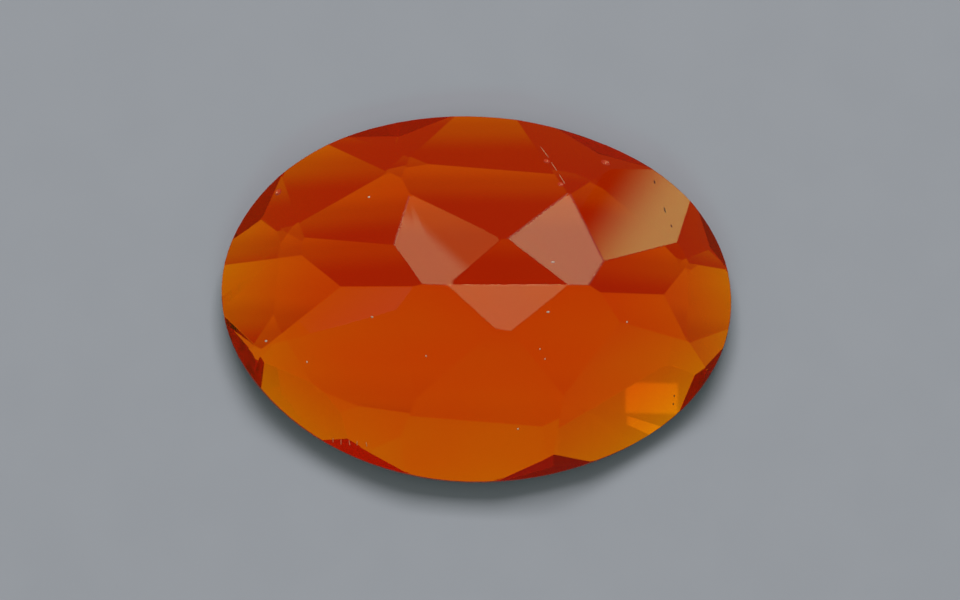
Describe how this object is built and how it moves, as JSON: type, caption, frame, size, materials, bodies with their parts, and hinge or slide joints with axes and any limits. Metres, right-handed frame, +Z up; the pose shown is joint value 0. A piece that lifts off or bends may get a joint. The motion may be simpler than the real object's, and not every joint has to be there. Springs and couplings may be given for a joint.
{
  "type": "faceted fire opal",
  "caption": "Oval faceted fire opal lying on its table facet, keel side up, see-through orange to red.",
  "frame": {"origin": "middle of the stone's box on the surface that it rests on", "axes": "+X along the stone and its keel ridge, +Y across it, +Z up from the table facet to the keel"},
  "size_m": [0.007, 0.005, 0.0025],
  "materials": {
    "opal": "polished see-through stone, orange with a deep red middle and yellow ends"
  },
  "bodies": {
    "root": {"fire_opal": "opal"}
  },
  "joints": []
}
